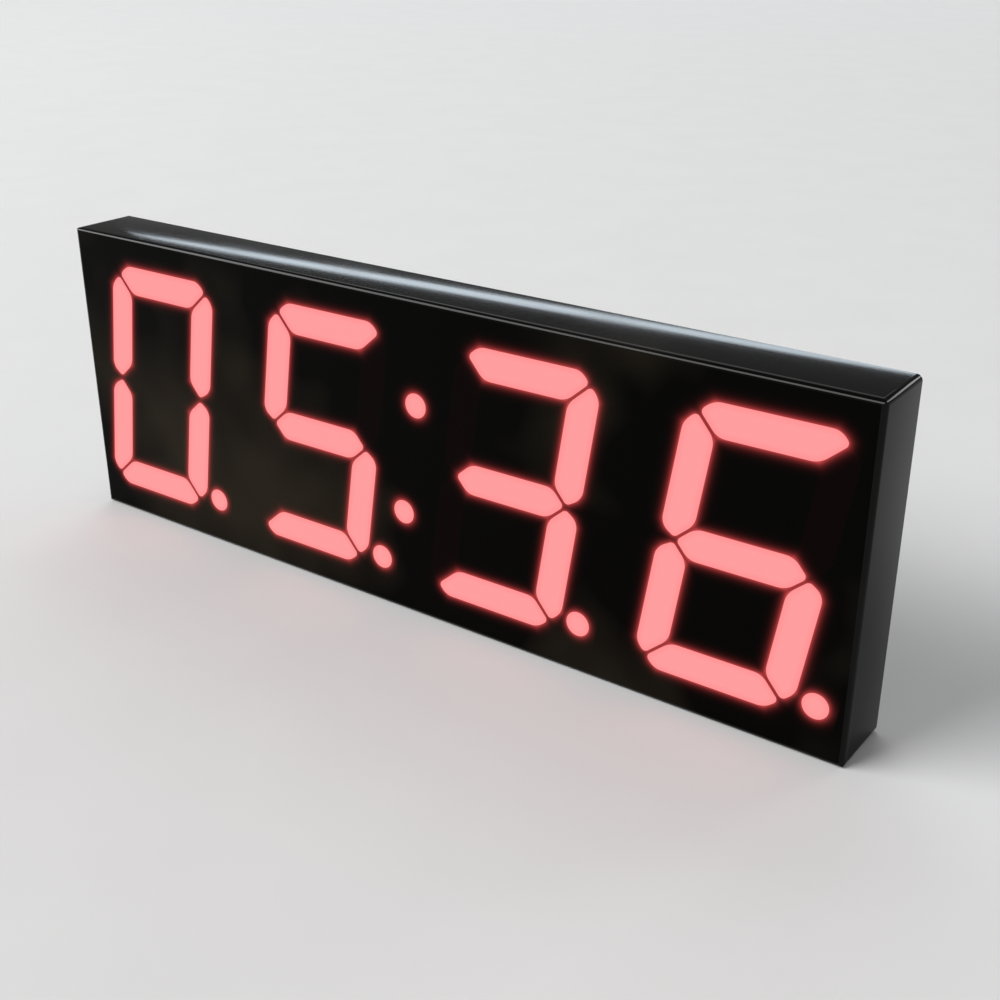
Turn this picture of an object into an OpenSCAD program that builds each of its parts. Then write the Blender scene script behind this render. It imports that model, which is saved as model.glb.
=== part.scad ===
// Four digit LED clock display of the 1.8 inch class, standing on its lower long side.
// A black reflector moulding carries tapered light wells, each closed at the face by a tinted
// diffuser seated on a ledge. A circuit board with LED chips closes the wells from behind. It is
// held by stakes that are part of the moulding, and carries two rows of soldered pins.
// X runs to the right, Y to the back and Z up. The origin is the middle of the lower side.

/* [Digits] */
// Height of a digit
digit_h = 45.72; // [43:0.01:50]
// Width of a digit before it leans
digit_w = 26.85; // [25:0.05:32]
// Space between two digits
digit_gap = 13.95; // [12.5:0.05:20]
// Lean of the digits, in degrees
slant = 9; // [0:0.1:12]
// Offset of the row of digits to the right of the middle of the face
digit_shift = 0.5; // [-0.5:0.05:0.8]
// Offset of the row of digits above the middle of the face
digit_rise = 0.25; // [-0.5:0.05:0.8]
// Numeral shown by the first digit
shown_1 = 0; // [0:1:9]
// Numeral shown by the second digit
shown_2 = 5; // [0:1:9]
// Numeral shown by the third digit
shown_3 = 3; // [0:1:9]
// Numeral shown by the fourth digit
shown_4 = 6; // [0:1:9]

/* [Segments] */
// Width of a segment
segment_w = 5.35; // [4.6:0.05:6]
// Space between two segments
segment_gap = 0.55; // [0.4:0.05:1.2]
// Thickness of a segment, from the face inwards
segment_t = 4; // [3:0.1:6]
// Cut across the outer corners of a digit
corner_cut = 4; // [2.5:0.1:5]
// Height of the notch in the middle of a digit's sides
side_notch = 2; // [1.5:0.1:4]
// Distance from a digit's side to the point where its middle gaps meet
joint_inset = 2.55; // [2:0.05:3]
// Rounding of a segment's blunt corners
blunt_r = 3.2; // [0.5:0.1:4]
// Rounding of a segment's tips
tip_r = 0.8; // [0.2:0.05:1.2]

/* [Dots] */
// Diameter of the decimal points and of the colon's dots
dot_d = 4.25; // [3.9:0.05:4.8]
// Distance from a digit's side to the centre of its decimal point
point_offset = 3.3; // [3:0.1:5]
// Height of a decimal point's centre above the foot of its digit
point_rise = 3.1; // [2.5:0.1:6]
// Height between the centres of the colon's dots
colon_spread = 19.9; // [12:0.1:28]
// How far the colon sits above the middle of the digits
colon_rise = 0.3; // [-0.5:0.05:0.8]

/* [Housing] */
// Depth of the housing
body_d = 12.4; // [10.5:0.1:20]
// Margin of the face beside the outer digits
side_margin = 2.25; // [2:0.05:8]
// Margin of the face above and below the digits
face_margin = 5.6; // [4:0.1:12]
// Rounding of the edges around the face
edge_r = 0.9; // [0.3:0.05:1.5]
// Thickness of the outer walls
wall_t = 1.4; // [1.2:0.1:2]
// Thickness of the face
face_t = 2; // [1.5:0.1:2.8]
// Thickness of the walls around the light wells
well_wall = 1.2; // [0.8:0.1:2]
// Width of the ledge on which a segment or dot seats
ledge_w = 0.5; // [0.4:0.05:0.8]
// Width of a segment's light well at the circuit board
well_floor_w = 2.6; // [2:0.1:3.4]
// Diameter of a dot's light well at the circuit board
dot_floor_d = 2.7; // [2.5:0.1:2.8]

/* [Stakes] */
// Diameter of the stakes through the circuit board
stake_d = 2; // [1.5:0.1:3]
// Clearance of a stake in its hole
stake_clearance = 0.1; // [0.05:0.05:0.3]
// Width of the boss's shoulder around a stake's hole, on which the circuit board rests
boss_shoulder = 1.4; // [0.8:0.1:2]
// How far the formed head of a stake reaches past its hole
stake_head_lip = 0.7; // [0.4:0.05:1.2]
// Height of the formed head of a stake
stake_head_h = 0.8; // [0.5:0.05:1]

/* [Circuit board] */
// Thickness of the circuit board
board_t = 1.6; // [1:0.1:2]
// Depth of the circuit board behind the housing's rear rim
board_recess = 1.2; // [1:0.1:2]
// Clearance between the circuit board and the outer walls
board_clearance = 0.15; // [0.05:0.05:0.5]

/* [LED chips] */
// Length of an LED chip
chip_l = 1.6; // [1:0.1:1.8]
// Width of an LED chip
chip_w = 0.8; // [0.5:0.05:0.9]
// Height of an LED chip's base
chip_base_h = 0.25; // [0.15:0.05:0.4]
// Height of the lens on an LED chip
chip_lens_h = 0.35; // [0.2:0.05:0.8]
// Length of the solder ends that an LED chip's lens leaves free
chip_end_l = 0.25; // [0.1:0.05:0.35]
// Distance from the end of a segment's light well to its last LED chip
chip_end_gap = 2.9; // [2.5:0.1:4]
// Space between the two LED chips of a dot
dot_chip_gap = 0.2; // [0.1:0.05:0.3]

/* [Pins] */
// Diameter of a pin
pin_d = 0.6; // [0.4:0.05:0.65]
// Diameter of a pin's shank in the circuit board
pin_shank_d = 1; // [0.8:0.05:1.2]
// Length of a pin behind the housing's rear rim
pin_l = 5; // [2:0.1:12]
// Length of the bevel at a pin's tip
pin_tip = 0.2; // [0.05:0.05:0.25]
// Distance between the pins of a row
pin_pitch = 2.54; // [2:0.01:5.08]
// Distance from a row of pins to the outer wall beside it
pin_inset = 1.66; // [1.2:0.02:4]
// Clearance of a pin's shank in its hole, which the solder fills
pin_clearance = 0.12; // [0.05:0.01:0.2]
// Width of the ring of solder around a pin's hole
solder_ring = 0.22; // [0.1:0.02:0.3]
// Height of the solder joint around a pin
solder_h = 0.9; // [0.5:0.05:0.95]

/* [Hidden] */
$fn = 64;
digit_count = 4;
segment_names = ["a", "b", "c", "d", "e", "f", "g"];
pins_per_row = 7;
segment_chips = 4;
colon_after = 2;
numerals = ["abcdef", "bc", "abdeg", "abcdg", "bcfg", "acdfg", "acdefg", "abc", "abcdefg", "abcdfg"];
shown = [shown_1, shown_2, shown_3, shown_4];

housing_colour = "#0b0b0c";
lit_colour = "#ff9c9c";
unlit_colour = "#1a0608";
board_colour = "#14532d";
chip_colour = "#e8d9b0";
pin_colour = "#c9c9c4";
solder_colour = "#b4b6b8";

digit_pitch = digit_w + digit_gap;
body_w = (digit_count - 1) * digit_pitch + digit_w + digit_h * tan(slant) + 2 * side_margin;
body_h = digit_h + 2 * face_margin;
digit_z = body_h / 2 + digit_rise;
half_w = digit_w / 2;
half_h = digit_h / 2;

// Planes across the depth, from the face to the rear rim
front_y = -body_d / 2;
rear_y = body_d / 2;
ledge_y = front_y + segment_t;
board_rear_y = rear_y - board_recess;
board_y = board_rear_y - board_t;

stake_hole_r = stake_d / 2 + stake_clearance;
boss_r = stake_hole_r + boss_shoulder;
stake_head_r = stake_hole_r + stake_head_lip;
pin_hole_r = pin_shank_d / 2 + pin_clearance;
solder_r = pin_hole_r + solder_ring;

arc_steps = 5;
cut_over = 0.5;

function segment_node(d, s) = str("digit_", d, "_segment_", s);
function point_node(d) = str("digit_", d, "_decimal_point");
function chips_node(d) = str("digit_", d, "_led_chips");
function pin_node(p) = str("pin_", p);

// True where the numeral that digit d shows uses segment s
function is_lit(d, s) = len(search(s, numerals[shown[d - 1]])) > 0;

// A point of an upright digit, in its place on the face: leaning, and moved to digit d
function on_face(d, p) = [
    (d - (digit_count + 1) / 2) * digit_pitch + digit_shift + p[0] + p[1] * tan(slant),
    digit_z + p[1]
];

// Outlines in an upright digit centred on the origin, anticlockwise from the front.
// Each gap runs along a diagonal, and a segment stays half a gap away from it.
gap_step = segment_gap / sqrt(2);
tip_x = half_w - corner_cut / 2 - gap_step / 2;
tip_z = half_h - corner_cut / 2 + gap_step / 2;
top_bar = [
    [tip_x, tip_z],
    [half_w - corner_cut, half_h],
    [corner_cut - half_w, half_h],
    [-tip_x, tip_z],
    [segment_w + gap_step - half_w, half_h - segment_w],
    [half_w - segment_w - gap_step, half_h - segment_w]
];
right_bar = [
    [half_w, side_notch],
    [half_w, half_h - corner_cut],
    [half_w - corner_cut / 2 + gap_step / 2, half_h - corner_cut / 2 - gap_step / 2],
    [half_w - segment_w, half_h - segment_w - gap_step],
    [half_w - segment_w, segment_w - joint_inset + gap_step],
    [half_w - joint_inset, gap_step]
];
middle_tip = half_w - joint_inset - gap_step;
middle_bar = [
    [middle_tip, 0],
    [middle_tip - segment_w / 2, segment_w / 2],
    [segment_w / 2 - middle_tip, segment_w / 2],
    [-middle_tip, 0],
    [segment_w / 2 - middle_tip, -segment_w / 2],
    [middle_tip - segment_w / 2, -segment_w / 2]
];

function reversed(list) = [for (i = [len(list) - 1 : -1 : 0]) list[i]];
function mirrored(list, kx, kz) =
    let (m = [for (p = list) [p[0] * kx, p[1] * kz]])
    kx * kz < 0 ? reversed(m) : m;

function segment_outline(s) =
    s == "a" ? top_bar :
    s == "b" ? right_bar :
    s == "c" ? mirrored(right_bar, 1, -1) :
    s == "d" ? mirrored(top_bar, 1, -1) :
    s == "e" ? mirrored(right_bar, -1, -1) :
    s == "f" ? mirrored(right_bar, -1, 1) :
    middle_bar;

function is_upright(s) = len(search(s, "bcef")) > 0;
function low(list, axis) = min([for (p = list) p[axis]]);
function high(list, axis) = max([for (p = list) p[axis]]);
function middle(list) = [for (axis = [0, 1]) (low(list, axis) + high(list, axis)) / 2];

// The outline with its length and width both reduced by the inset on each side
function drawn_in(list, inset) =
    let (
        m = middle(list),
        k = [for (axis = [0, 1]) 1 - 2 * inset / (high(list, axis) - low(list, axis))]
    )
    [for (p = list) [for (axis = [0, 1]) m[axis] + (p[axis] - m[axis]) * k[axis]]];

function unit(v) = v / norm(v);

// Points of the arc that rounds corner p between its neighbours, held within half of either edge
function corner_arc(before, p, after) =
    let (
        u = unit(before - p),
        v = unit(after - p),
        angle = acos(u * v),
        room = min(norm(before - p), norm(after - p)) / 2,
        r = min(angle < 120 ? tip_r : blunt_r, room * tan(angle / 2)),
        centre = p + unit(u + v) * r / sin(angle / 2),
        from = p + u * r / tan(angle / 2) - centre,
        to = p + v * r / tan(angle / 2) - centre,
        turn = 180 - angle
    )
    [for (i = [0 : arc_steps])
        centre + (from * sin(turn * (1 - i / arc_steps)) + to * sin(turn * i / arc_steps)) / sin(turn)];

function rounded(list) =
    let (n = len(list))
    [for (i = [0 : n - 1]) each corner_arc(list[(i + n - 1) % n], list[i], list[(i + 1) % n])];

function placed(d, list) = [for (p = list) on_face(d, p)];

// How far a well's wall has come in from the segment's outline, at depth y
function well_inset(y) =
    ledge_w + ((segment_w - well_floor_w) / 2 - ledge_w) * (y - ledge_y) / (board_y - ledge_y);
function dot_well_r(y) =
    dot_d / 2 - ledge_w - ((dot_d - dot_floor_d) / 2 - ledge_w) * (y - ledge_y) / (board_y - ledge_y);

// LED chips in an upright digit, spread evenly along the floor of a segment's well
function chip_places(s) =
    let (
        outline = drawn_in(segment_outline(s), well_inset(board_y)),
        axis = is_upright(s) ? 1 : 0,
        spread = high(outline, axis) - low(outline, axis) - 2 * chip_end_gap,
        run = axis == 1 ? [0, spread] : [spread, 0]
    )
    [for (i = [0 : segment_chips - 1]) middle(outline) + run * (i / (segment_chips - 1) - 1 / 2)];

function point_place(d) = on_face(d, [half_w + point_offset, point_rise - half_h]);
function colon_place(side) =
    let (above = colon_rise + side * colon_spread / 2)
    (on_face(colon_after, [0, above]) + on_face(colon_after + 1, [0, above])) / 2;
dot_places = concat([for (d = [1 : digit_count]) point_place(d)], [colon_place(1), colon_place(-1)]);

// One stake in the middle of each of a digit's two open fields
stake_z = (half_h - segment_w / 2) / 2;
stake_places = [for (d = [1 : digit_count]) for (side = [-1, 1]) on_face(d, [0, side * stake_z])];

// Pins count along the lower row from the left, then back along the upper row
function pin_place(p) =
    let (i = p <= pins_per_row ? p - 1 : 2 * pins_per_row - p)
    [
        (i - (pins_per_row - 1) / 2) * pin_pitch,
        p <= pins_per_row ? wall_t + pin_inset : body_h - wall_t - pin_inset
    ];
pin_places = [for (p = [1 : 2 * pins_per_row]) pin_place(p)];

// Carries a drawing of the face through the depth from y0 to y1
module through(y0, y1) {
    translate([0, y1, 0])
        rotate([90, 0, 0])
            linear_extrude(y1 - y0)
                children();
}

// A round bar along the depth from y0 to y1, centred on place
module rod(place, y0, y1, r0, r1) {
    translate([place[0], y0, place[1]])
        rotate([-90, 0, 0])
            cylinder(h = y1 - y0, r1 = r0, r2 = r1);
}

// A rectangle with its lower corners rounded, and its upper ones where both is true
module rounded_plate(w, h, both) {
    translate([edge_r, 0])
        square([w - 2 * edge_r, h]);
    translate([0, edge_r])
        square([w, both ? h - 2 * edge_r : h - edge_r]);
    for (x = [edge_r, w - edge_r]) {
        for (y = both ? [edge_r, h - edge_r] : [edge_r])
            translate([x, y])
                circle(edge_r);
    }
}

// The outside of the housing: every edge of the face and of the ends is rounded, the rear rim isn't
module outer_form() {
    intersection() {
        through(front_y, rear_y)
            translate([-body_w / 2, 0])
                rounded_plate(body_w, body_h, true);
        translate([-body_w / 2, front_y, 0])
            linear_extrude(body_h)
                rounded_plate(body_w, body_d, false);
        translate([body_w / 2, front_y, 0])
            rotate([0, -90, 0])
                linear_extrude(body_w)
                    rounded_plate(body_h, body_d, false);
    }
}

// Space for one segment and the light well behind it, narrowing towards the circuit board
module segment_well(d, s) {
    outline = segment_outline(s);
    n = len(outline);
    y0 = ledge_y - cut_over;
    y1 = board_y + cut_over;
    through(front_y - cut_over, ledge_y)
        polygon(placed(d, rounded(outline)));
    near = placed(d, drawn_in(outline, well_inset(y0)));
    far = placed(d, drawn_in(outline, well_inset(y1)));
    polyhedron(
        points = concat([for (p = near) [p[0], y0, p[1]]], [for (p = far) [p[0], y1, p[1]]]),
        faces = concat(
            [[for (i = [n - 1 : -1 : 0]) i], [for (i = [n : 2 * n - 1]) i]],
            [for (i = [0 : n - 1]) [i, (i + 1) % n, n + (i + 1) % n, n + i]]
        )
    );
}

module dot_well(place) {
    rod(place, front_y - cut_over, ledge_y, dot_d / 2, dot_d / 2);
    rod(place, ledge_y - cut_over, board_y + cut_over,
        dot_well_r(ledge_y - cut_over), dot_well_r(board_y + cut_over));
}

// A stake through the circuit board, its end formed into a low dome
module stake(place) {
    dome_r = (stake_head_r * stake_head_r + stake_head_h * stake_head_h) / (2 * stake_head_h);
    reach = cut_over + stake_head_r;
    rod(place, board_y - cut_over, board_rear_y + stake_head_h / 2, stake_d / 2, stake_d / 2);
    intersection() {
        translate([place[0], board_rear_y + stake_head_h - dome_r, place[1]])
            sphere(dome_r);
        rod(place, board_rear_y, board_rear_y + stake_head_h + cut_over, reach, reach);
    }
}

module housing() {
    color(housing_colour) {
        difference() {
            union() {
                difference() {
                    outer_form();
                    translate([wall_t - body_w / 2, front_y + face_t, wall_t])
                        cube([body_w - 2 * wall_t, body_d, body_h - 2 * wall_t]);
                }
                for (d = [1 : digit_count]) {
                    for (s = segment_names)
                        through(front_y + face_t / 2, board_y)
                            polygon(placed(d, drawn_in(segment_outline(s), -well_wall)));
                }
                for (place = dot_places)
                    rod(place, front_y + face_t / 2, board_y, dot_d / 2 + well_wall, dot_d / 2 + well_wall);
                for (place = stake_places)
                    rod(place, front_y + face_t / 2, board_y, boss_r, boss_r);
            }
            for (d = [1 : digit_count]) {
                for (s = segment_names)
                    segment_well(d, s);
            }
            for (place = dot_places)
                dot_well(place);
        }
        for (place = stake_places)
            stake(place);
    }
}

module segment(d, s) {
    color(is_lit(d, s) ? lit_colour : unlit_colour)
        through(front_y, ledge_y)
            polygon(placed(d, rounded(segment_outline(s))));
}

module dot(place) {
    color(lit_colour)
        rod(place, front_y, ledge_y, dot_d / 2, dot_d / 2);
}

module circuit_board() {
    inset = wall_t + board_clearance;
    color(board_colour)
        difference() {
            translate([inset - body_w / 2, board_y, inset])
                cube([body_w - 2 * inset, board_t, body_h - 2 * inset]);
            for (place = stake_places)
                rod(place, board_y - cut_over, board_rear_y + cut_over, stake_hole_r, stake_hole_r);
            for (place = pin_places)
                rod(place, board_y - cut_over, board_rear_y + cut_over, pin_hole_r, pin_hole_r);
        }
}

// An LED chip on the front of the circuit board: a base with solder ends, and a lens between them
module chip() {
    translate([-chip_l / 2, -chip_base_h, -chip_w / 2])
        cube([chip_l, chip_base_h, chip_w]);
    translate([chip_end_l - chip_l / 2, -chip_base_h - chip_lens_h, -chip_w / 2])
        cube([chip_l - 2 * chip_end_l, chip_base_h + chip_lens_h, chip_w]);
}

module dot_chips(place) {
    for (side = [-1, 1])
        translate([place[0], board_y, place[1] + side * (chip_w + dot_chip_gap) / 2])
            chip();
}

module digit_led_chips(d) {
    color(chip_colour) {
        for (s = segment_names) {
            for (place = chip_places(s)) {
                spot = on_face(d, place);
                translate([spot[0], board_y, spot[1]])
                    rotate([0, is_upright(s) ? slant - 90 : 0, 0])
                        chip();
            }
        }
        dot_chips(point_place(d));
    }
}

module colon_led_chips() {
    color(chip_colour) {
        for (side = [-1, 1])
            dot_chips(colon_place(side));
    }
}

module pin(p) {
    tip_y = rear_y + pin_l;
    color(pin_colour) {
        rod(pin_place(p), board_y, board_rear_y, pin_shank_d / 2, pin_shank_d / 2);
        rod(pin_place(p), board_rear_y, tip_y - pin_tip, pin_d / 2, pin_d / 2);
        rod(pin_place(p), tip_y - pin_tip, tip_y, pin_d / 2, pin_d / 2 - pin_tip);
    }
}

// Solder fills each pin's hole and rises around the pin behind the circuit board
module solder_joints() {
    color(solder_colour) {
        for (place = pin_places)
            translate([place[0], board_rear_y, place[1]])
                rotate([-90, 0, 0])
                    rotate_extrude()
                        polygon([
                            [pin_shank_d / 2, -board_t],
                            [pin_hole_r, -board_t],
                            [pin_hole_r, 0],
                            [solder_r, 0],
                            [(solder_r + pin_d / 2) / 2, solder_h / 3],
                            [pin_d / 2, solder_h],
                            [pin_d / 2, 0],
                            [pin_shank_d / 2, 0]
                        ]);
    }
}

housing();
for (d = [1 : digit_count]) {
    for (s = segment_names)
        segment(d, s);
    dot(point_place(d));
    digit_led_chips(d);
}
dot(colon_place(1));  // colon_upper_dot
dot(colon_place(-1));  // colon_lower_dot
circuit_board();
colon_led_chips();
for (p = [1 : 2 * pins_per_row])
    pin(p);
solder_joints();
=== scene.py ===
"""Looks of the seven segment display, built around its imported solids.

Everything is in metres, in the frame of the solids: X to the right, Y to the back, Z up.
"""

import math

import bmesh
import bpy
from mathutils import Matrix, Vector


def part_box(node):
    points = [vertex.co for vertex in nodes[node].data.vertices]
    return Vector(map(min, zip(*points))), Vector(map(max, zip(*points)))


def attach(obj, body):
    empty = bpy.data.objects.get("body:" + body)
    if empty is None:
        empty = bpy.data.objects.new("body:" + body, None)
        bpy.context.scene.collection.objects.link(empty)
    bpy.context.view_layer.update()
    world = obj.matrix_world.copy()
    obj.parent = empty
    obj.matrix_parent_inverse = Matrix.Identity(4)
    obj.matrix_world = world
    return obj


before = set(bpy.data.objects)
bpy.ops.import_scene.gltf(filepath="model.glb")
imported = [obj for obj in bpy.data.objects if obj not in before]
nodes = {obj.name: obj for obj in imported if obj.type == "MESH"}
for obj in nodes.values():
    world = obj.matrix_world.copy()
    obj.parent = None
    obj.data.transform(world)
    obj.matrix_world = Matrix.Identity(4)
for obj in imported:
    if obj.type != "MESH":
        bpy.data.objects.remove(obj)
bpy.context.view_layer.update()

MM = 0.001
MICRON = 0.000001

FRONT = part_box("housing")[0].y
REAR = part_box("circuit_board")[1].y

# Camera, with its angles in degrees and its lens in millimetres
CAMERA_PLACE = (0.13827, -0.17041, 0.11883)
CAMERA_AZIMUTH = 35.95
CAMERA_ELEVATION = 24.44
CAMERA_LENS = 50
CAMERA_SENSOR = 36
CAMERA_NEAR = 5 * MM

# What the digits read, by the letters of their lit segments
LIT_SEGMENTS = {1: "abcdef", 2: "acdfg", 3: "abcdg", 4: "acdefg"}
SEGMENTS = "abcdefg"
COLON_DOTS = ("colon_upper_dot", "colon_lower_dot")

# Light of the diffusers
LIT_COLOUR = (1.0, 0.337, 0.339)
RIM_COLOUR = (1.0, 0.288, 0.296)
RIM_DEPTH = 1.1 * MM
# Painted glow on the face and on the dark diffusers round the lit ones, which give no light of their
# own
HALO_COLOUR = (1.0, 0.1, 0.105)
HALO_PEAK = 0.5
HALO_DECAY = 0.36 * MM
HALO_DEPTH = 0.3 * MM

# Distance to the outlines of the lit diffusers
ROUND_DIGITS = 7
SIDE_TURN = 24  # sides that turn by fewer degrees count as one
CORNER_BLEND = 0.4 * MM
GAP_BLEND = 0.6 * MM
SAME_NUMBER = 0.5  # numbers of digits that differ by less are the same
FAR_OFF = 1.0  # added to the distance of dark segments

# Where the face ends and where the rounded edges around it end
FLAT_DEPTH = 0.01 * MM
EDGE_DEPTH = 0.9 * MM

# Gloss of the surfaces
FACE_GLOSS = 0.03
WALL_GLOSS = 0.05
EDGE_GLOSS = 0.13
MASK_GLOSS = 0.4
FLOOR_GLOSS = 0.1

# Colours of the moulding and of dark diffusers, clean and under clouds that are partly a hazy film
# and partly a painted reflection of the surroundings
DEEP_BLACK = (0.0008, 0.0007, 0.0005)
DEEP_RED = (0.0026, 0.0007, 0.0008)
# Brownish clouds painted into the colour stand partly for a hazy film and partly for a reflection of
# the surroundings; the shift sets where they lie
FACE_HAZE_AND_REFLECTION = (0.017, 0.0132, 0.0084)
WALL_HAZE_AND_REFLECTION = (0.008, 0.0064, 0.0043)
HAZE_AND_REFLECTION_SHIFT = (1.011, 0, -1.239)
HAZE_AND_REFLECTION_SCALE = 17
HAZE_AND_REFLECTION_SPREAD = (0.5, 0.68)

# Colours of the other materials, each from its darkest to its lightest shade
LIT_EPOXY = ((0.04, 0.003, 0.004), (0.06, 0.005, 0.006))
LAMINATE_MASK = ((0.004, 0.05, 0.016), (0.01, 0.09, 0.03))
COPPER_MASK = ((0.012, 0.11, 0.03), (0.03, 0.19, 0.06))
HOLE_MASK = ((0.002, 0.02, 0.007), (0.005, 0.035, 0.012))
BARE_LAMINATE = ((0.12, 0.1, 0.035), (0.2, 0.17, 0.07))
PIN_TIN = ((0.6, 0.58, 0.54), (0.76, 0.74, 0.7))
SOLDER_TIN = ((0.62, 0.62, 0.61), (0.8, 0.8, 0.79))
PAD_TIN = ((0.6, 0.6, 0.58), (0.8, 0.79, 0.77))
WHITE_INK = ((0.55, 0.57, 0.54), (0.8, 0.8, 0.78))
CHIP_CREAM = ((0.7, 0.66, 0.5), (0.8, 0.77, 0.62))
PALE_FLOOR = ((0.73, 0.73, 0.73), (0.77, 0.77, 0.77))
BLACK = (0, 0, 0)
WHITE = (1, 1, 1)

# Roughness of the surfaces, from smooth to dull where it varies
MOULDING_ROUGHNESS = (0.07, 0.11)
LIT_ROUGHNESS = (0.2, 0.3)
UNLIT_ROUGHNESS = (0.09, 0.15)
MASK_ROUGHNESS = (0.27, 0.35)
PIN_ROUGHNESS = (0.2, 0.36)
SOLDER_ROUGHNESS = (0.12, 0.3)
PAD_ROUGHNESS = (0.2, 0.4)
INK_ROUGHNESS = 0.6
LAMINATE_ROUGHNESS = 0.55
CHIP_ROUGHNESS = 0.5
FLOOR_ROUGHNESS = 0.9

# Grain of the surfaces: its repeats in a metre, and the values between which most of it lies
FINE_GRAIN = 900
MASK_GRAIN = 60
TIN_GRAIN = 700
TIN_PITS = 2500
INK_GRAIN = 1500
FLOOR_GRAIN = 40
LINE_GRAIN = (14, 650, 650)
GRAIN_SPREAD = (0.3, 0.7)
WEAVE_PITCH = 0.6 * MM
WEAVE_SHARE = 0.12

# Height of the relief that only shading shows
WALL_CROWN = 0.13 * MM
PEEL_DEPTH = 0.4 * MICRON
LINE_DEPTH = 2.5 * MICRON
MASK_DEPTH = 0.8 * MICRON
TIN_DEPTH = 1.5 * MICRON

# Light of the room, by the height of its direction, and the floor that fades into it
ROOM_LIGHT = 0.25
HORIZON_LIGHT = 0.55
HORIZON_LOW = 0.05
HORIZON_HIGH = 0.2
FLOOR_R = 6
FLOOR_STEPS = 96
FADE_START = 1.4
FADE_END = 2.6
STRIP_BLUE = (0.8, 0.91, 1.0)

# Levels of the shapes on the circuit board's rear
COPPER_RISE = 0.03 * MM
VIA_RISE = 0.06 * MM
HOLE_RISE = 0.08 * MM
PAD_RISE = 0.08 * MM
INK_RISE = 0.08 * MM
SHAPE_LIFT = 0.0002 * MM
SUNK = 0.01 * MM
ROUND_STEPS = 32

# Copper lines and vias
LOOP_W = 0.6 * MM
LANE_W = 0.5 * MM
CHAIN_W = 0.35 * MM
VIA_R = 0.45 * MM
VIA_HOLE_R = 0.2 * MM
FIRST_LANE = 1.9 * MM
LANE_STEP = 1.0 * MM
LANE_BEND = 0.8 * MM
LANE_VIA_STEP = 5.0 * MM
CHAIN_INSET = 1.5 * MM
CHAIN_SHARE = 0.56
CHAIN_VIAS = 4
POINT_VIA_REACH = 0.9 * MM

# The digit whose common line leaves a row of pins on its left (-1) or right (1) side
COMMON_DIGITS = {(-1, "lower"): 1, (-1, "upper"): 2, (1, "upper"): 3, (1, "lower"): 4}
# The digits that the other lines pass on each side, from the middle outwards
PASSED_DIGITS = {-1: (2, 1), 1: (3, 4)}

# Pads, fiducial marks and ink
PAD_R = 1.02 * MM
PAD_HOLE_R = 0.78 * MM
FIDUCIAL_R = 0.5 * MM
FIDUCIAL_CLEAR_R = 1.0 * MM
FIDUCIAL_INSET = 2.6 * MM
INK_W = 0.18 * MM
FRAME_MARGIN = 1.35 * MM
MARK_SIZE = 0.9 * MM


class Surface:
    """A Principled material, with short calls that add the nodes that feed it."""

    def __init__(self, name, **sockets):
        self.material = bpy.data.materials.new(name)
        self.material.use_nodes = True
        tree = self.material.node_tree
        self.nodes = tree.nodes
        self.links = tree.links
        self.shader = tree.nodes["Principled BSDF"]
        self.place = tree.nodes.new("ShaderNodeTexCoord").outputs["Object"]
        for socket, value in sockets.items():
            self.set(socket.replace("_", " "), value)

    def set(self, socket, value):
        """Feeds one socket of the shader, named as Blender shows it."""
        self.feed(self.shader.inputs[socket], value)

    def feed(self, socket, value):
        """Links a socket to another node's output, or gives it a value of its own."""
        if isinstance(value, bpy.types.NodeSocket):
            self.links.new(value, socket)
        elif socket.type == "RGBA":
            socket.default_value = (*value, 1)
        else:
            socket.default_value = value

    def add(self, kind, output, inputs, **settings):
        """Adds one node. inputs maps its sockets, by name or number, to values or other nodes."""
        node = self.nodes.new(kind)
        for name, value in settings.items():
            setattr(node, name, value)
        for socket, value in inputs.items():
            self.feed(node.inputs[socket], value)
        return node.outputs[output]

    def math(self, operation, *values):
        """One step of arithmetic on numbers."""
        return self.add("ShaderNodeMath", 0, dict(enumerate(values)), operation=operation)

    def blend(self, operation, values, width):
        """Joins values one after the other by a smooth minimum or maximum."""
        joined = values[0]
        for value in values[1:]:
            joined = self.math(operation, joined, value, width)
        return joined

    def vector(self, operation, *values):
        """One step of arithmetic on vectors, which gives a vector or a number."""
        output = "Value" if operation in ("DOT_PRODUCT", "DISTANCE", "LENGTH") else "Vector"
        return self.add("ShaderNodeVectorMath", output, dict(enumerate(values)), operation=operation)

    def axis(self, name):
        """The place along one axis."""
        return self.add("ShaderNodeSeparateXYZ", name, {0: self.place})

    def noise(self, scale, detail=2, roughness=0.5, place=None):
        """A random grain, from 0 to 1."""
        inputs = {
            "Vector": place or self.place,
            "Scale": scale,
            "Detail": detail,
            "Roughness": roughness,
        }
        return self.add("ShaderNodeTexNoise", "Fac", inputs)

    def remap(self, value, low, high, new_low, new_high):
        """A value's span from low to high, carried over to a new span."""
        inputs = dict(enumerate((value, low, high, new_low, new_high)))
        return self.add("ShaderNodeMapRange", 0, inputs)

    def mix(self, factor, first, second):
        """A colour between two others. Its sockets go by number, as their names aren't unique."""
        return self.add("ShaderNodeMix", 2, {0: factor, 6: first, 7: second}, data_type="RGBA")

    def roughen(self, grain, smooth, dull):
        """Makes the surface smooth where a grain is low and dull where it is high."""
        self.set("Roughness", self.remap(grain, *GRAIN_SPREAD, smooth, dull))

    def bump(self, height):
        """Shades the surface as if it stood higher by a height in metres."""
        inputs = {"Height": height, "Distance": 1.0, "Strength": 1.0}
        self.set("Normal", self.add("ShaderNodeBump", 0, inputs))

    def glow(self, colour, strength=1):
        """Gives a faint light of its own, which isn't sampled as a lamp."""
        self.set("Emission Color", colour)
        self.set("Emission Strength", strength)
        self.material.cycles.emission_sampling = "NONE"


def named(start="", end=""):
    """The nodes whose names start and end so."""
    return [n for n in nodes if n.startswith(start) and n.endswith(end)]


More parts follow.
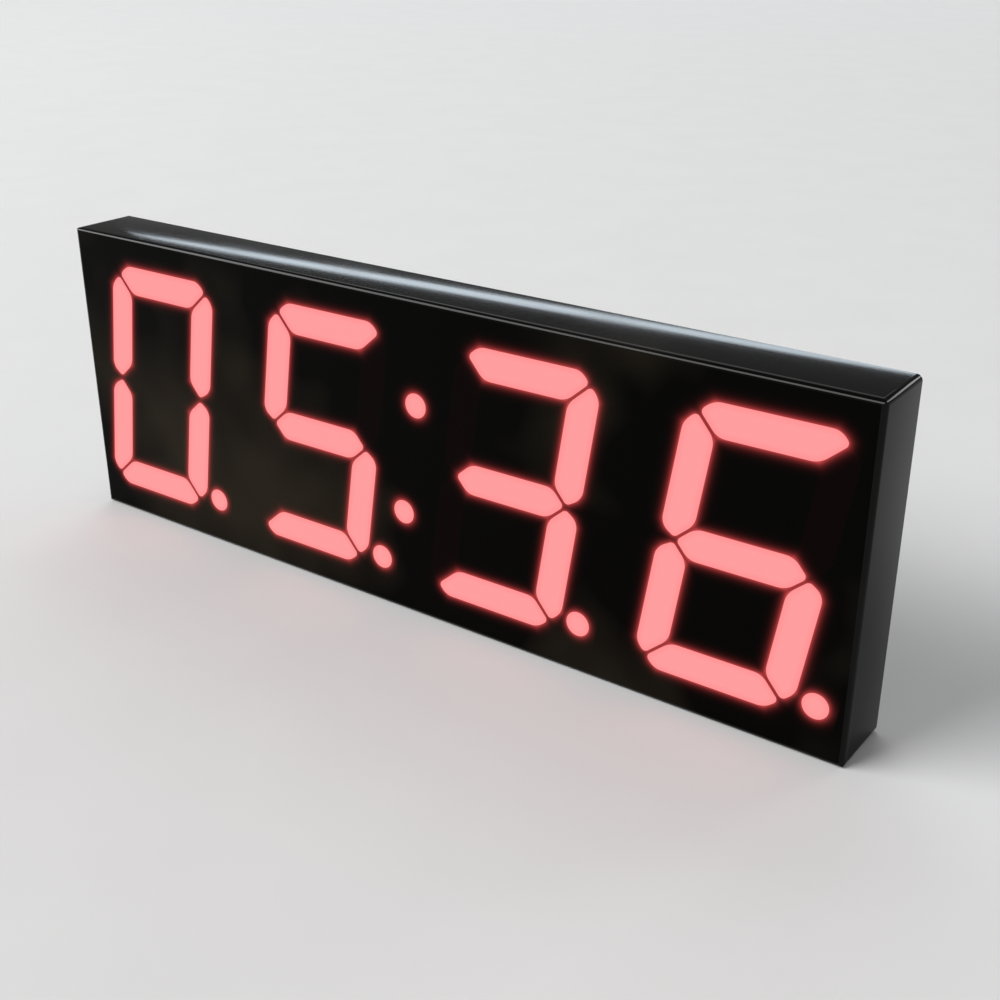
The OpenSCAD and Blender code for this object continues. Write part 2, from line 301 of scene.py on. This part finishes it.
def middle(name):
    """The middle of a node's box."""
    low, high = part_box(name)
    return (low + high) / 2


def lit_names():
    """The diffusers that give light."""
    names = [f"digit_{digit}_segment_{s}" for digit, on in LIT_SEGMENTS.items() for s in on]
    names += [f"digit_{digit}_decimal_point" for digit in LIT_SEGMENTS]
    return names + list(COLON_DOTS)


def unlit_names():
    """The segments that stay dark."""
    return [
        f"digit_{digit}_segment_{s}"
        for digit, on in LIT_SEGMENTS.items()
        for s in SEGMENTS
        if s not in on
    ]


def face_outline(name):
    """The edges round a diffuser's front, each as a pair of points."""
    mesh = nodes[name].data
    uses = {}
    for polygon in mesh.polygons:
        corners = [mesh.vertices[v].co for v in polygon.vertices]
        if max(c.y for c in corners) > FRONT + FLAT_DEPTH:
            continue
        points = [(round(c.x, ROUND_DIGITS), round(c.z, ROUND_DIGITS)) for c in corners]
        for pair in zip(points, points[1:] + points[:1]):
            edge = tuple(sorted(pair))
            uses[edge] = uses.get(edge, 0) + 1
    return [[Vector((x, FRONT, z)) for x, z in edge] for edge, count in uses.items() if count == 1]


def outline_sides(name):
    """The outward direction of the longer sides of a segment, and how far out each one lies."""
    centre = middle(name)
    by_length = sorted(face_outline(name), key=lambda edge: (edge[0] - edge[1]).length)
    sides = []
    for start, end in reversed(by_length):
        along = (end - start).normalized()
        outward = Vector((along.z, 0, -along.x))
        if outward.dot(start - centre) < 0:
            outward.negate()
        if all(math.degrees(outward.angle(other)) > SIDE_TURN for other, _ in sides):
            sides.append((outward, outward.dot(start)))
    return sides


def distance_to_segment(surface, place, name):
    """How far a place is outside a segment, below zero inside it."""
    distances = []
    for outward, offset in outline_sides(name):
        along = surface.vector("DOT_PRODUCT", place, outward)
        distances.append(surface.math("SUBTRACT", along, offset))
    return surface.blend("SMOOTH_MAX", distances, CORNER_BLEND)


def distance_to_dot(surface, place, name):
    """How far a place is outside a dot, below zero inside it."""
    low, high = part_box(name)
    centre = middle(name)
    centre.y = FRONT
    away = surface.vector("DISTANCE", place, centre)
    return surface.math("SUBTRACT", away, (high.x - low.x) / 2)


def distance_to_light(surface):
    """How far a point of the face is outside the nearest lit diffuser, below zero inside one.

    Every digit is measured as the first one, at the place moved back by its number of steps.
    """
    first, second = middle("digit_1_segment_g"), middle("digit_2_segment_g")
    top, bottom = middle("digit_1_segment_a"), middle("digit_1_segment_d")
    step = second.x - first.x
    lean = (top.x - bottom.x) / (top.z - bottom.z)
    upright = Vector((1, 0, -lean))
    across = surface.vector("DOT_PRODUCT", surface.place, upright / step)
    number = surface.math("ROUND", surface.math("SUBTRACT", across, upright.dot(first) / step))
    shift = surface.add("ShaderNodeCombineXYZ", 0, {"X": surface.math("MULTIPLY", number, step)})
    place = surface.vector("SUBTRACT", surface.place, shift)
    distances = [distance_to_dot(surface, place, "digit_1_decimal_point")]
    for s in SEGMENTS:
        distance = distance_to_segment(surface, place, f"digit_1_segment_{s}")
        for digit, on in LIT_SEGMENTS.items():
            if s not in on:
                dark = surface.math("COMPARE", number, digit - 1, SAME_NUMBER)
                distance = surface.math("MULTIPLY_ADD", dark, FAR_OFF, distance)
        distances.append(distance)
    distances += [distance_to_dot(surface, surface.place, name) for name in COLON_DOTS]
    return surface.blend("SMOOTH_MIN", distances, GAP_BLEND)


def add_painted_glow(surface):
    """Painted glow: red light put into the surface's own emission round the lit diffusers, which
    fades with the distance from them.
    """
    outside = surface.math("MAXIMUM", distance_to_light(surface), 0)
    fall = surface.math("EXPONENT", surface.math("MULTIPLY", outside, -1 / HALO_DECAY))
    on_face = surface.remap(surface.axis("Y"), FRONT, FRONT + HALO_DEPTH, HALO_PEAK, 0)
    amount = surface.math("MULTIPLY", fall, on_face)
    surface.glow(surface.mix(amount, BLACK, HALO_COLOUR))


def haze_and_reflection(surface):
    """Thin clouds on a polished surface, from 0 to 1: partly a hazy film, partly a painted
    reflection of the surroundings.
    """
    place = surface.vector("ADD", surface.place, HAZE_AND_REFLECTION_SHIFT)
    clouds = surface.noise(HAZE_AND_REFLECTION_SCALE, detail=3, roughness=0.6, place=place)
    return surface.remap(clouds, *HAZE_AND_REFLECTION_SPREAD, 0, 1)


def black_plastic(name, gloss, haze_and_reflection_colour, line_depth=0):
    """Glossy black plastic with faint clouds in its colour, partly a hazy film and partly a painted
    reflection, a fine orange peel and lines of some depth along X.

    Its shading bulges a little between the face and the rear.
    """
    surface = Surface(name, Specular_IOR_Level=gloss)
    clouds = haze_and_reflection(surface)
    surface.set("Base Color", surface.mix(clouds, DEEP_BLACK, haze_and_reflection_colour))
    surface.set("Roughness", surface.remap(clouds, 0, 1, *MOULDING_ROUGHNESS))
    from_middle = surface.math("DIVIDE", surface.axis("Y"), FRONT)
    crown = surface.math("MULTIPLY", surface.math("POWER", from_middle, 2), -WALL_CROWN)
    peel = surface.noise(FINE_GRAIN, detail=1)
    height = surface.math("MULTIPLY_ADD", peel, PEEL_DEPTH, crown)
    stretched = surface.vector("MULTIPLY", surface.place, LINE_GRAIN)
    lines = surface.noise(1, roughness=0.6, place=stretched)
    surface.bump(surface.math("MULTIPLY_ADD", lines, line_depth, height))
    return surface


def black_walls():
    """The moulding's outside and inside, with faint polishing lines."""
    return black_plastic("black_plastic", WALL_GLOSS, WALL_HAZE_AND_REFLECTION, LINE_DEPTH).material


def black_edges():
    """The rounded edges around the face, which catch more light."""
    return black_plastic("black_edge", EDGE_GLOSS, WALL_HAZE_AND_REFLECTION).material


def black_face():
    """The moulding's face, with a painted glow of the digits' light spread over it round them."""
    surface = black_plastic("black_face", FACE_GLOSS, FACE_HAZE_AND_REFLECTION)
    add_painted_glow(surface)
    return surface.material


def lit_diffuser():
    """Tinted epoxy with the light of its chips behind it."""
    surface = Surface("lit_diffuser", Specular_IOR_Level=FACE_GLOSS)
    grain = surface.noise(FINE_GRAIN)
    surface.set("Base Color", surface.mix(grain, *LIT_EPOXY))
    surface.roughen(grain, *LIT_ROUGHNESS)
    depth = surface.math("MULTIPLY", distance_to_light(surface), -1)
    inner = surface.remap(depth, 0, RIM_DEPTH, 0, 1)
    surface.set("Emission Color", surface.mix(inner, RIM_COLOUR, LIT_COLOUR))
    surface.set("Emission Strength", 1)
    return surface.material


def unlit_diffuser():
    """Tinted epoxy with no light behind it, and a painted glow of its neighbours' light on its
    edges.
    """
    surface = Surface("unlit_diffuser", Specular_IOR_Level=FACE_GLOSS)
    # The same clouds as on the face, partly a hazy film and partly a painted reflection
    surface.set("Base Color", surface.mix(haze_and_reflection(surface), DEEP_RED, FACE_HAZE_AND_REFLECTION))
    surface.roughen(surface.noise(FINE_GRAIN), *UNLIT_ROUGHNESS)
    add_painted_glow(surface)
    return surface.material


def glass_weave(surface):
    """The weave of the glass cloth in the laminate, from 0 to 1."""
    turns = 2 * math.pi / WEAVE_PITCH
    waves = [
        surface.math("SINE", surface.math("MULTIPLY", surface.axis(axis), turns)) for axis in "XZ"
    ]
    return surface.math("MULTIPLY_ADD", surface.math("MULTIPLY", *waves), 0.5, 0.5)


def masked(name, shades):
    """Green solder mask over laminate or copper, with a faint weave and clouds in its thickness."""
    surface = Surface(name, Specular_IOR_Level=MASK_GLOSS)
    clouds = surface.noise(MASK_GRAIN)
    weave = glass_weave(surface)
    cloud_part = surface.math("MULTIPLY", clouds, 1 - WEAVE_SHARE)
    shade = surface.math("MULTIPLY_ADD", weave, WEAVE_SHARE, cloud_part)
    surface.set("Base Color", surface.mix(shade, *shades))
    surface.roughen(clouds, *MASK_ROUGHNESS)
    surface.bump(surface.math("MULTIPLY", weave, MASK_DEPTH))
    return surface.material


def tinned_metal(name, shades, roughness):
    """Bright tin, with a fine grain and duller patches."""
    surface = Surface(name, Metallic=1.0)
    grain = surface.noise(TIN_GRAIN, detail=3)
    surface.set("Base Color", surface.mix(grain, *shades))
    surface.roughen(grain, *roughness)
    surface.bump(surface.math("MULTIPLY", surface.noise(TIN_PITS), TIN_DEPTH))
    return surface.material


def white_ink():
    """Screen printed ink, a little thin in places."""
    surface = Surface("white_ink", Roughness=INK_ROUGHNESS)
    surface.set("Base Color", surface.mix(surface.noise(INK_GRAIN, detail=3), *WHITE_INK))
    return surface.material


def bare_laminate():
    """The laminate where the mask leaves it free."""
    surface = Surface("bare_laminate", Roughness=LAMINATE_ROUGHNESS)
    surface.set("Base Color", surface.mix(glass_weave(surface), *BARE_LAMINATE))
    return surface.material


def chip_body():
    """The pale body of the LED chips."""
    surface = Surface("chip_body", Roughness=CHIP_ROUGHNESS)
    surface.set("Base Color", surface.mix(surface.noise(FINE_GRAIN), *CHIP_CREAM))
    return surface.material


def give(material, names):
    """Dresses nodes in one material."""
    for name in names:
        slots = nodes[name].data.materials
        slots.clear()
        slots.append(material)


def dress_housing():
    """The walls, the rounded edges and the flat face of the moulding differ in their material."""
    mesh = nodes["housing"].data
    mesh.materials.clear()
    for material in (black_walls(), black_edges(), black_face()):
        mesh.materials.append(material)
    for polygon in mesh.polygons:
        depth = polygon.center.y - FRONT
        polygon.material_index = int(depth < EDGE_DEPTH) + int(depth < FLAT_DEPTH)


def dress():
    """Gives every node of the frame its material."""
    dress_housing()
    give(lit_diffuser(), lit_names())
    give(unlit_diffuser(), unlit_names())
    give(masked("masked_laminate", LAMINATE_MASK), ["circuit_board"])
    give(tinned_metal("pin_tin", PIN_TIN, PIN_ROUGHNESS), named("pin_"))
    give(tinned_metal("solder_tin", SOLDER_TIN, SOLDER_ROUGHNESS), ["solder_joints"])
    give(chip_body(), named(end="led_chips"))


class Relief:
    """Flat shapes that stand a little out of the circuit board's rear, gathered into one piece.

    Each plate stands a hair higher than the one before it, so that no two tops share a plane.
    """

    def __init__(self, name, rise):
        self.name = name
        self.top = REAR + rise
        self.mesh = bmesh.new()

    def loops(self, outline):
        """The outline at the lower and at the upper level."""
        levels = (REAR - SUNK, self.top)
        return [[self.mesh.verts.new((x, y, z)) for x, z in outline] for y in levels]

    def wall(self, first, second):
        """Faces between two loops with as many points."""
        for i, corner in enumerate(first):
            self.mesh.faces.new((first[i - 1], corner, second[i], second[i - 1]))

    def plate(self, outline):
        """A flat shape within one outline."""
        low, high = self.loops(outline)
        self.mesh.faces.new(low)
        self.mesh.faces.new(high)
        self.wall(low, high)
        self.top += SHAPE_LIFT

    def band(self, outer, inner):
        """A flat ring between two outlines with as many points."""
        loops = [*self.loops(outer), *reversed(self.loops(inner))]
        for i, loop in enumerate(loops):
            self.wall(loops[i - 1], loop)

    def ribbon(self, points, width):
        """A flat line of even width through points."""
        self.plate(beside(points, width / 2) + beside(points[::-1], width / 2))

    def finish(self, material):
        """Puts the piece into the scene."""
        bmesh.ops.recalc_face_normals(self.mesh, faces=self.mesh.faces)
        data = bpy.data.meshes.new(self.name)
        self.mesh.to_mesh(data)
        self.mesh.free()
        data.materials.append(material)
        piece = bpy.data.objects.new(self.name, data)
        bpy.context.scene.collection.objects.link(piece)
        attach(piece, "root")


def beside(points, distance):
    """The points moved to the left of their line by a distance, with mitred corners."""
    steps = [(b - a).normalized() for a, b in zip(points, points[1:])]
    sides = [Vector((-step.y, step.x)) for step in steps]
    moved = []
    for i, point in enumerate(points):
        before, after = sides[max(i - 1, 0)], sides[min(i, len(sides) - 1)]
        moved.append(point + (before + after) * distance / (1 + before.dot(after)))
    return moved


def ring(place, radius, square=False):
    """Points round a place, on a circle or on the square about it."""
    points = []
    for i in range(ROUND_STEPS):
        angle = 2 * math.pi * i / ROUND_STEPS
        way = Vector((math.cos(angle), math.sin(angle)))
        reach = radius / max(abs(way.x), abs(way.y)) if square else radius
        points.append(place + way * reach)
    return points


def rectangle(low, high):
    """The corners of a rectangle, from its lowest and highest corner."""
    return [low, Vector((high.x, low.y)), high, Vector((low.x, high.y))]


def on_board(name):
    """The middle of a node, seen along the depth."""
    centre = middle(name)
    return Vector((centre.x, centre.z))


def pin_rows():
    """The pins of the lower and of the upper row, from the left."""
    pins = sorted(named("pin_"), key=lambda pin: on_board(pin).x)
    half = on_board("housing").y
    lower = [pin for pin in pins if on_board(pin).y < half]
    return {"lower": lower, "upper": [pin for pin in pins if pin not in lower]}


def digit_copper(copper, digit):
    """The common line of a digit, which follows its strokes, and the chains of its chips.

    Returns the places of their vias.
    """
    mid = {s: on_board(f"digit_{digit}_segment_{s}") for s in SEGMENTS}
    up = Vector(((mid["a"].x - mid["d"].x) / (mid["a"].y - mid["d"].y), 1))
    left = [mid["f"] + up * (mid[s].y - mid["f"].y) for s in "agd"]
    right = [mid["b"] + up * (mid[s].y - mid["b"].y) for s in "agd"]
    for column in (left, right):
        copper.ribbon([column[0], column[2]], LOOP_W)
    for start, end in zip(left, right):
        copper.ribbon([start, end], LOOP_W)
    vias = left + right
    for s, centre in mid.items():
        vias += chain_copper(copper, s, centre, mid["g"], left, right)
    reach = Vector((POINT_VIA_REACH, 0))
    point = on_board(f"digit_{digit}_decimal_point")
    pair = [point - reach, point + reach]
    copper.ribbon(pair, CHAIN_W)
    return vias + pair


def chain_copper(copper, s, centre, heart, left, right):
    """The line that joins the chips of a segment, beside it towards the heart of its digit.

    The segment at the heart has it above. Returns the places of its vias.
    """
    upright = s in "bcef"
    stroke = (left[0] - left[1]) if upright else (right[0] - left[0])
    inward = heart - centre
    if upright:
        inset = Vector((math.copysign(CHAIN_INSET, inward.x), 0))
    else:
        inset = Vector((0, math.copysign(CHAIN_INSET, inward.y or 1)))
    shares = [CHAIN_SHARE * (i / (CHAIN_VIAS - 1) - 0.5) for i in range(CHAIN_VIAS)]
    stops = [centre + inset + stroke * share for share in shares]
    copper.ribbon([stops[0], stops[-1]], CHAIN_W)
    return stops


def lane_copper(copper, row, pins):
    """Lines from the pins of a row to the digits: the outermost pin takes the lane nearest its row.

    Returns the places of their vias.
    """
    towards = 1 if row == "lower" else -1
    half = len(pins) // 2
    vias = []
    for side, outermost_first in ((-1, pins[:half]), (1, pins[: -half - 1 : -1])):
        for i, name in enumerate(outermost_first):
            pin = on_board(name)
            lane = pin.y + towards * (FIRST_LANE + i * LANE_STEP)
            path = [pin, Vector((pin.x, lane - towards * LANE_BEND))]
            path.append(Vector((pin.x + side * LANE_BEND, lane)))
            if i == half - 1:
                digit = COMMON_DIGITS[side, row]
                joint = on_board(f"digit_{digit}_segment_{'d' if row == 'lower' else 'a'}")
                path += [Vector((joint.x - side * abs(joint.y - lane), lane)), joint]
            else:
                offset = side * (i + 0.5) * LANE_VIA_STEP
                passed = [on_board(f"digit_{d}_segment_g").x for d in PASSED_DIGITS[side]]
                stops = [Vector((x + offset, lane)) for x in passed]
                path.append(stops[-1])
                vias += stops
            copper.ribbon(path, LANE_W)
    pin = on_board(pins[half])
    dot = on_board(f"colon_{row}_dot")
    bend = Vector((pin.x, dot.y - towards * abs(dot.x - pin.x)))
    copper.ribbon([pin, bend, dot], LANE_W)
    return vias + [dot]


def add_copper():
    """Copper lines under the mask, with a small land and a filled hole at each via."""
    copper = Relief("board_copper", COPPER_RISE)
    lands = Relief("via_lands", VIA_RISE)
    holes = Relief("via_holes", HOLE_RISE)
    vias = []
    for digit in LIT_SEGMENTS:
        vias += digit_copper(copper, digit)
    for row, pins in pin_rows().items():
        vias += lane_copper(copper, row, pins)
    for place in vias:
        lands.plate(ring(place, VIA_R))
        holes.plate(ring(place, VIA_HOLE_R))
    mask = masked("masked_copper", COPPER_MASK)
    copper.finish(mask)
    lands.finish(mask)
    holes.finish(masked("masked_hole", HOLE_MASK))


def add_pads():
    """A tinned pad round each pin, a square one at the first, and three fiducial marks."""
    pads = Relief("pin_pads", PAD_RISE)
    clearings = Relief("fiducial_clearings", COPPER_RISE)
    for pin in named("pin_"):
        place = on_board(pin)
        pads.band(ring(place, PAD_R, square=pin == "pin_1"), ring(place, PAD_HOLE_R))
    low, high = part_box("circuit_board")
    left, right = low.x + FIDUCIAL_INSET, high.x - FIDUCIAL_INSET
    bottom, top = low.z + FIDUCIAL_INSET, high.z - FIDUCIAL_INSET
    for place in (Vector((left, top)), Vector((left, bottom)), Vector((right, bottom))):
        pads.plate(ring(place, FIDUCIAL_R))
        clearings.band(ring(place, FIDUCIAL_CLEAR_R), ring(place, FIDUCIAL_R))
    pads.finish(tinned_metal("pad_tin", PAD_TIN, PAD_ROUGHNESS))
    clearings.finish(bare_laminate())


def add_ink():
    """A printed frame round each row of pins, and an arrow at the first pin."""
    ink = Relief("board_ink", INK_RISE)
    margin = Vector((FRAME_MARGIN, FRAME_MARGIN))
    line = Vector((INK_W, INK_W))
    for pins in pin_rows().values():
        low, high = on_board(pins[0]) - margin, on_board(pins[-1]) + margin
        ink.band(rectangle(low, high), rectangle(low + line, high - line))
    tip = on_board("pin_1") - Vector((FRAME_MARGIN + 2 * INK_W, 0))
    back = tip - Vector((MARK_SIZE, 0))
    half = Vector((0, MARK_SIZE / 2))
    ink.plate([tip, back + half, back - half])
    ink.finish(white_ink())


def add_camera():
    """The camera, at the place from which the photograph was taken."""
    data = bpy.data.cameras.new("camera")
    data.lens = CAMERA_LENS
    data.sensor_width = CAMERA_SENSOR
    data.clip_start = CAMERA_NEAR
    camera = bpy.data.objects.new("camera", data)
    camera.location = CAMERA_PLACE
    camera.rotation_euler = (math.radians(90 - CAMERA_ELEVATION), 0, math.radians(CAMERA_AZIMUTH))
    bpy.context.scene.collection.objects.link(camera)
    bpy.context.scene.camera = camera


def add_floor():
    """A pale floor that passes into the tone of the horizon far from the object."""
    bpy.ops.mesh.primitive_circle_add(vertices=FLOOR_STEPS, radius=FLOOR_R, fill_type="NGON")
    floor = bpy.context.object
    floor.name = "floor"
    surface = Surface("pale_floor", Roughness=FLOOR_ROUGHNESS, Specular_IOR_Level=FLOOR_GLOSS)
    pale = surface.mix(surface.noise(FLOOR_GRAIN, detail=3), *PALE_FLOOR)
    far = surface.remap(surface.vector("LENGTH", surface.place), FADE_START, FADE_END, 0, 1)
    surface.set("Base Color", surface.mix(far, pale, BLACK))
    surface.glow(surface.mix(far, BLACK, WHITE), HORIZON_LIGHT)
    floor.data.materials.append(surface.material)


def add_world():
    """A grey room, paler near the horizon, where it meets the floor."""
    world = bpy.data.worlds.new("studio")
    world.use_nodes = True
    tree = world.node_tree
    split = tree.nodes.new("ShaderNodeSeparateXYZ")
    tree.links.new(tree.nodes.new("ShaderNodeTexCoord").outputs["Generated"], split.inputs[0])
    fade = tree.nodes.new("ShaderNodeMapRange")
    for i, value in enumerate((HORIZON_LOW, HORIZON_HIGH, HORIZON_LIGHT, ROOM_LIGHT), start=1):
        fade.inputs[i].default_value = value
    tree.links.new(split.outputs["Z"], fade.inputs[0])
    tree.links.new(fade.outputs[0], tree.nodes["Background"].inputs["Strength"])
    tree.nodes["Background"].inputs["Color"].default_value = (*WHITE, 1)
    bpy.context.scene.world = world


def add_softbox(name, place, size, power, target=(0, 0, 0), colour=WHITE, shape="RECTANGLE"):
    """An area lamp that faces a target and that the camera doesn't see."""
    data = bpy.data.lights.new(name, "AREA")
    data.shape = shape
    data.size, data.size_y = size
    data.energy = power
    data.color = colour
    lamp = bpy.data.objects.new(name, data)
    lamp.location = place
    lamp.rotation_euler = (Vector(target) - Vector(place)).to_track_quat("-Z", "Y").to_euler()
    lamp.visible_camera = False
    bpy.context.scene.collection.objects.link(lamp)


def add_lamps():
    """Soft lamps before and behind the object, and a thin one that draws a streak on its top."""
    add_softbox("key", place=(-1.79, -1.92, 1.9), size=(2.8, 1.3), power=112)
    add_softbox("fill", place=(-1.3, 2.1, 2.6), size=(2.6, 2.6), power=28)
    add_softbox(
        "back_strip",
        place=(-1.01, 1.74, 0.585),
        size=(1.6, 0.075),
        power=1.9,
        target=(0.23, 0.18, 0.05),
        colour=STRIP_BLUE,
        shape="ELLIPSE",
    )
    add_softbox("rim", place=(0.8, 2.1, 0.76), size=(0.7, 0.4), power=7, target=(0, 0, 0.05))


add_camera()
add_floor()
add_world()
add_lamps()
dress()
add_copper()
add_pads()
add_ink()
bpy.context.scene.view_settings.view_transform = "Standard"
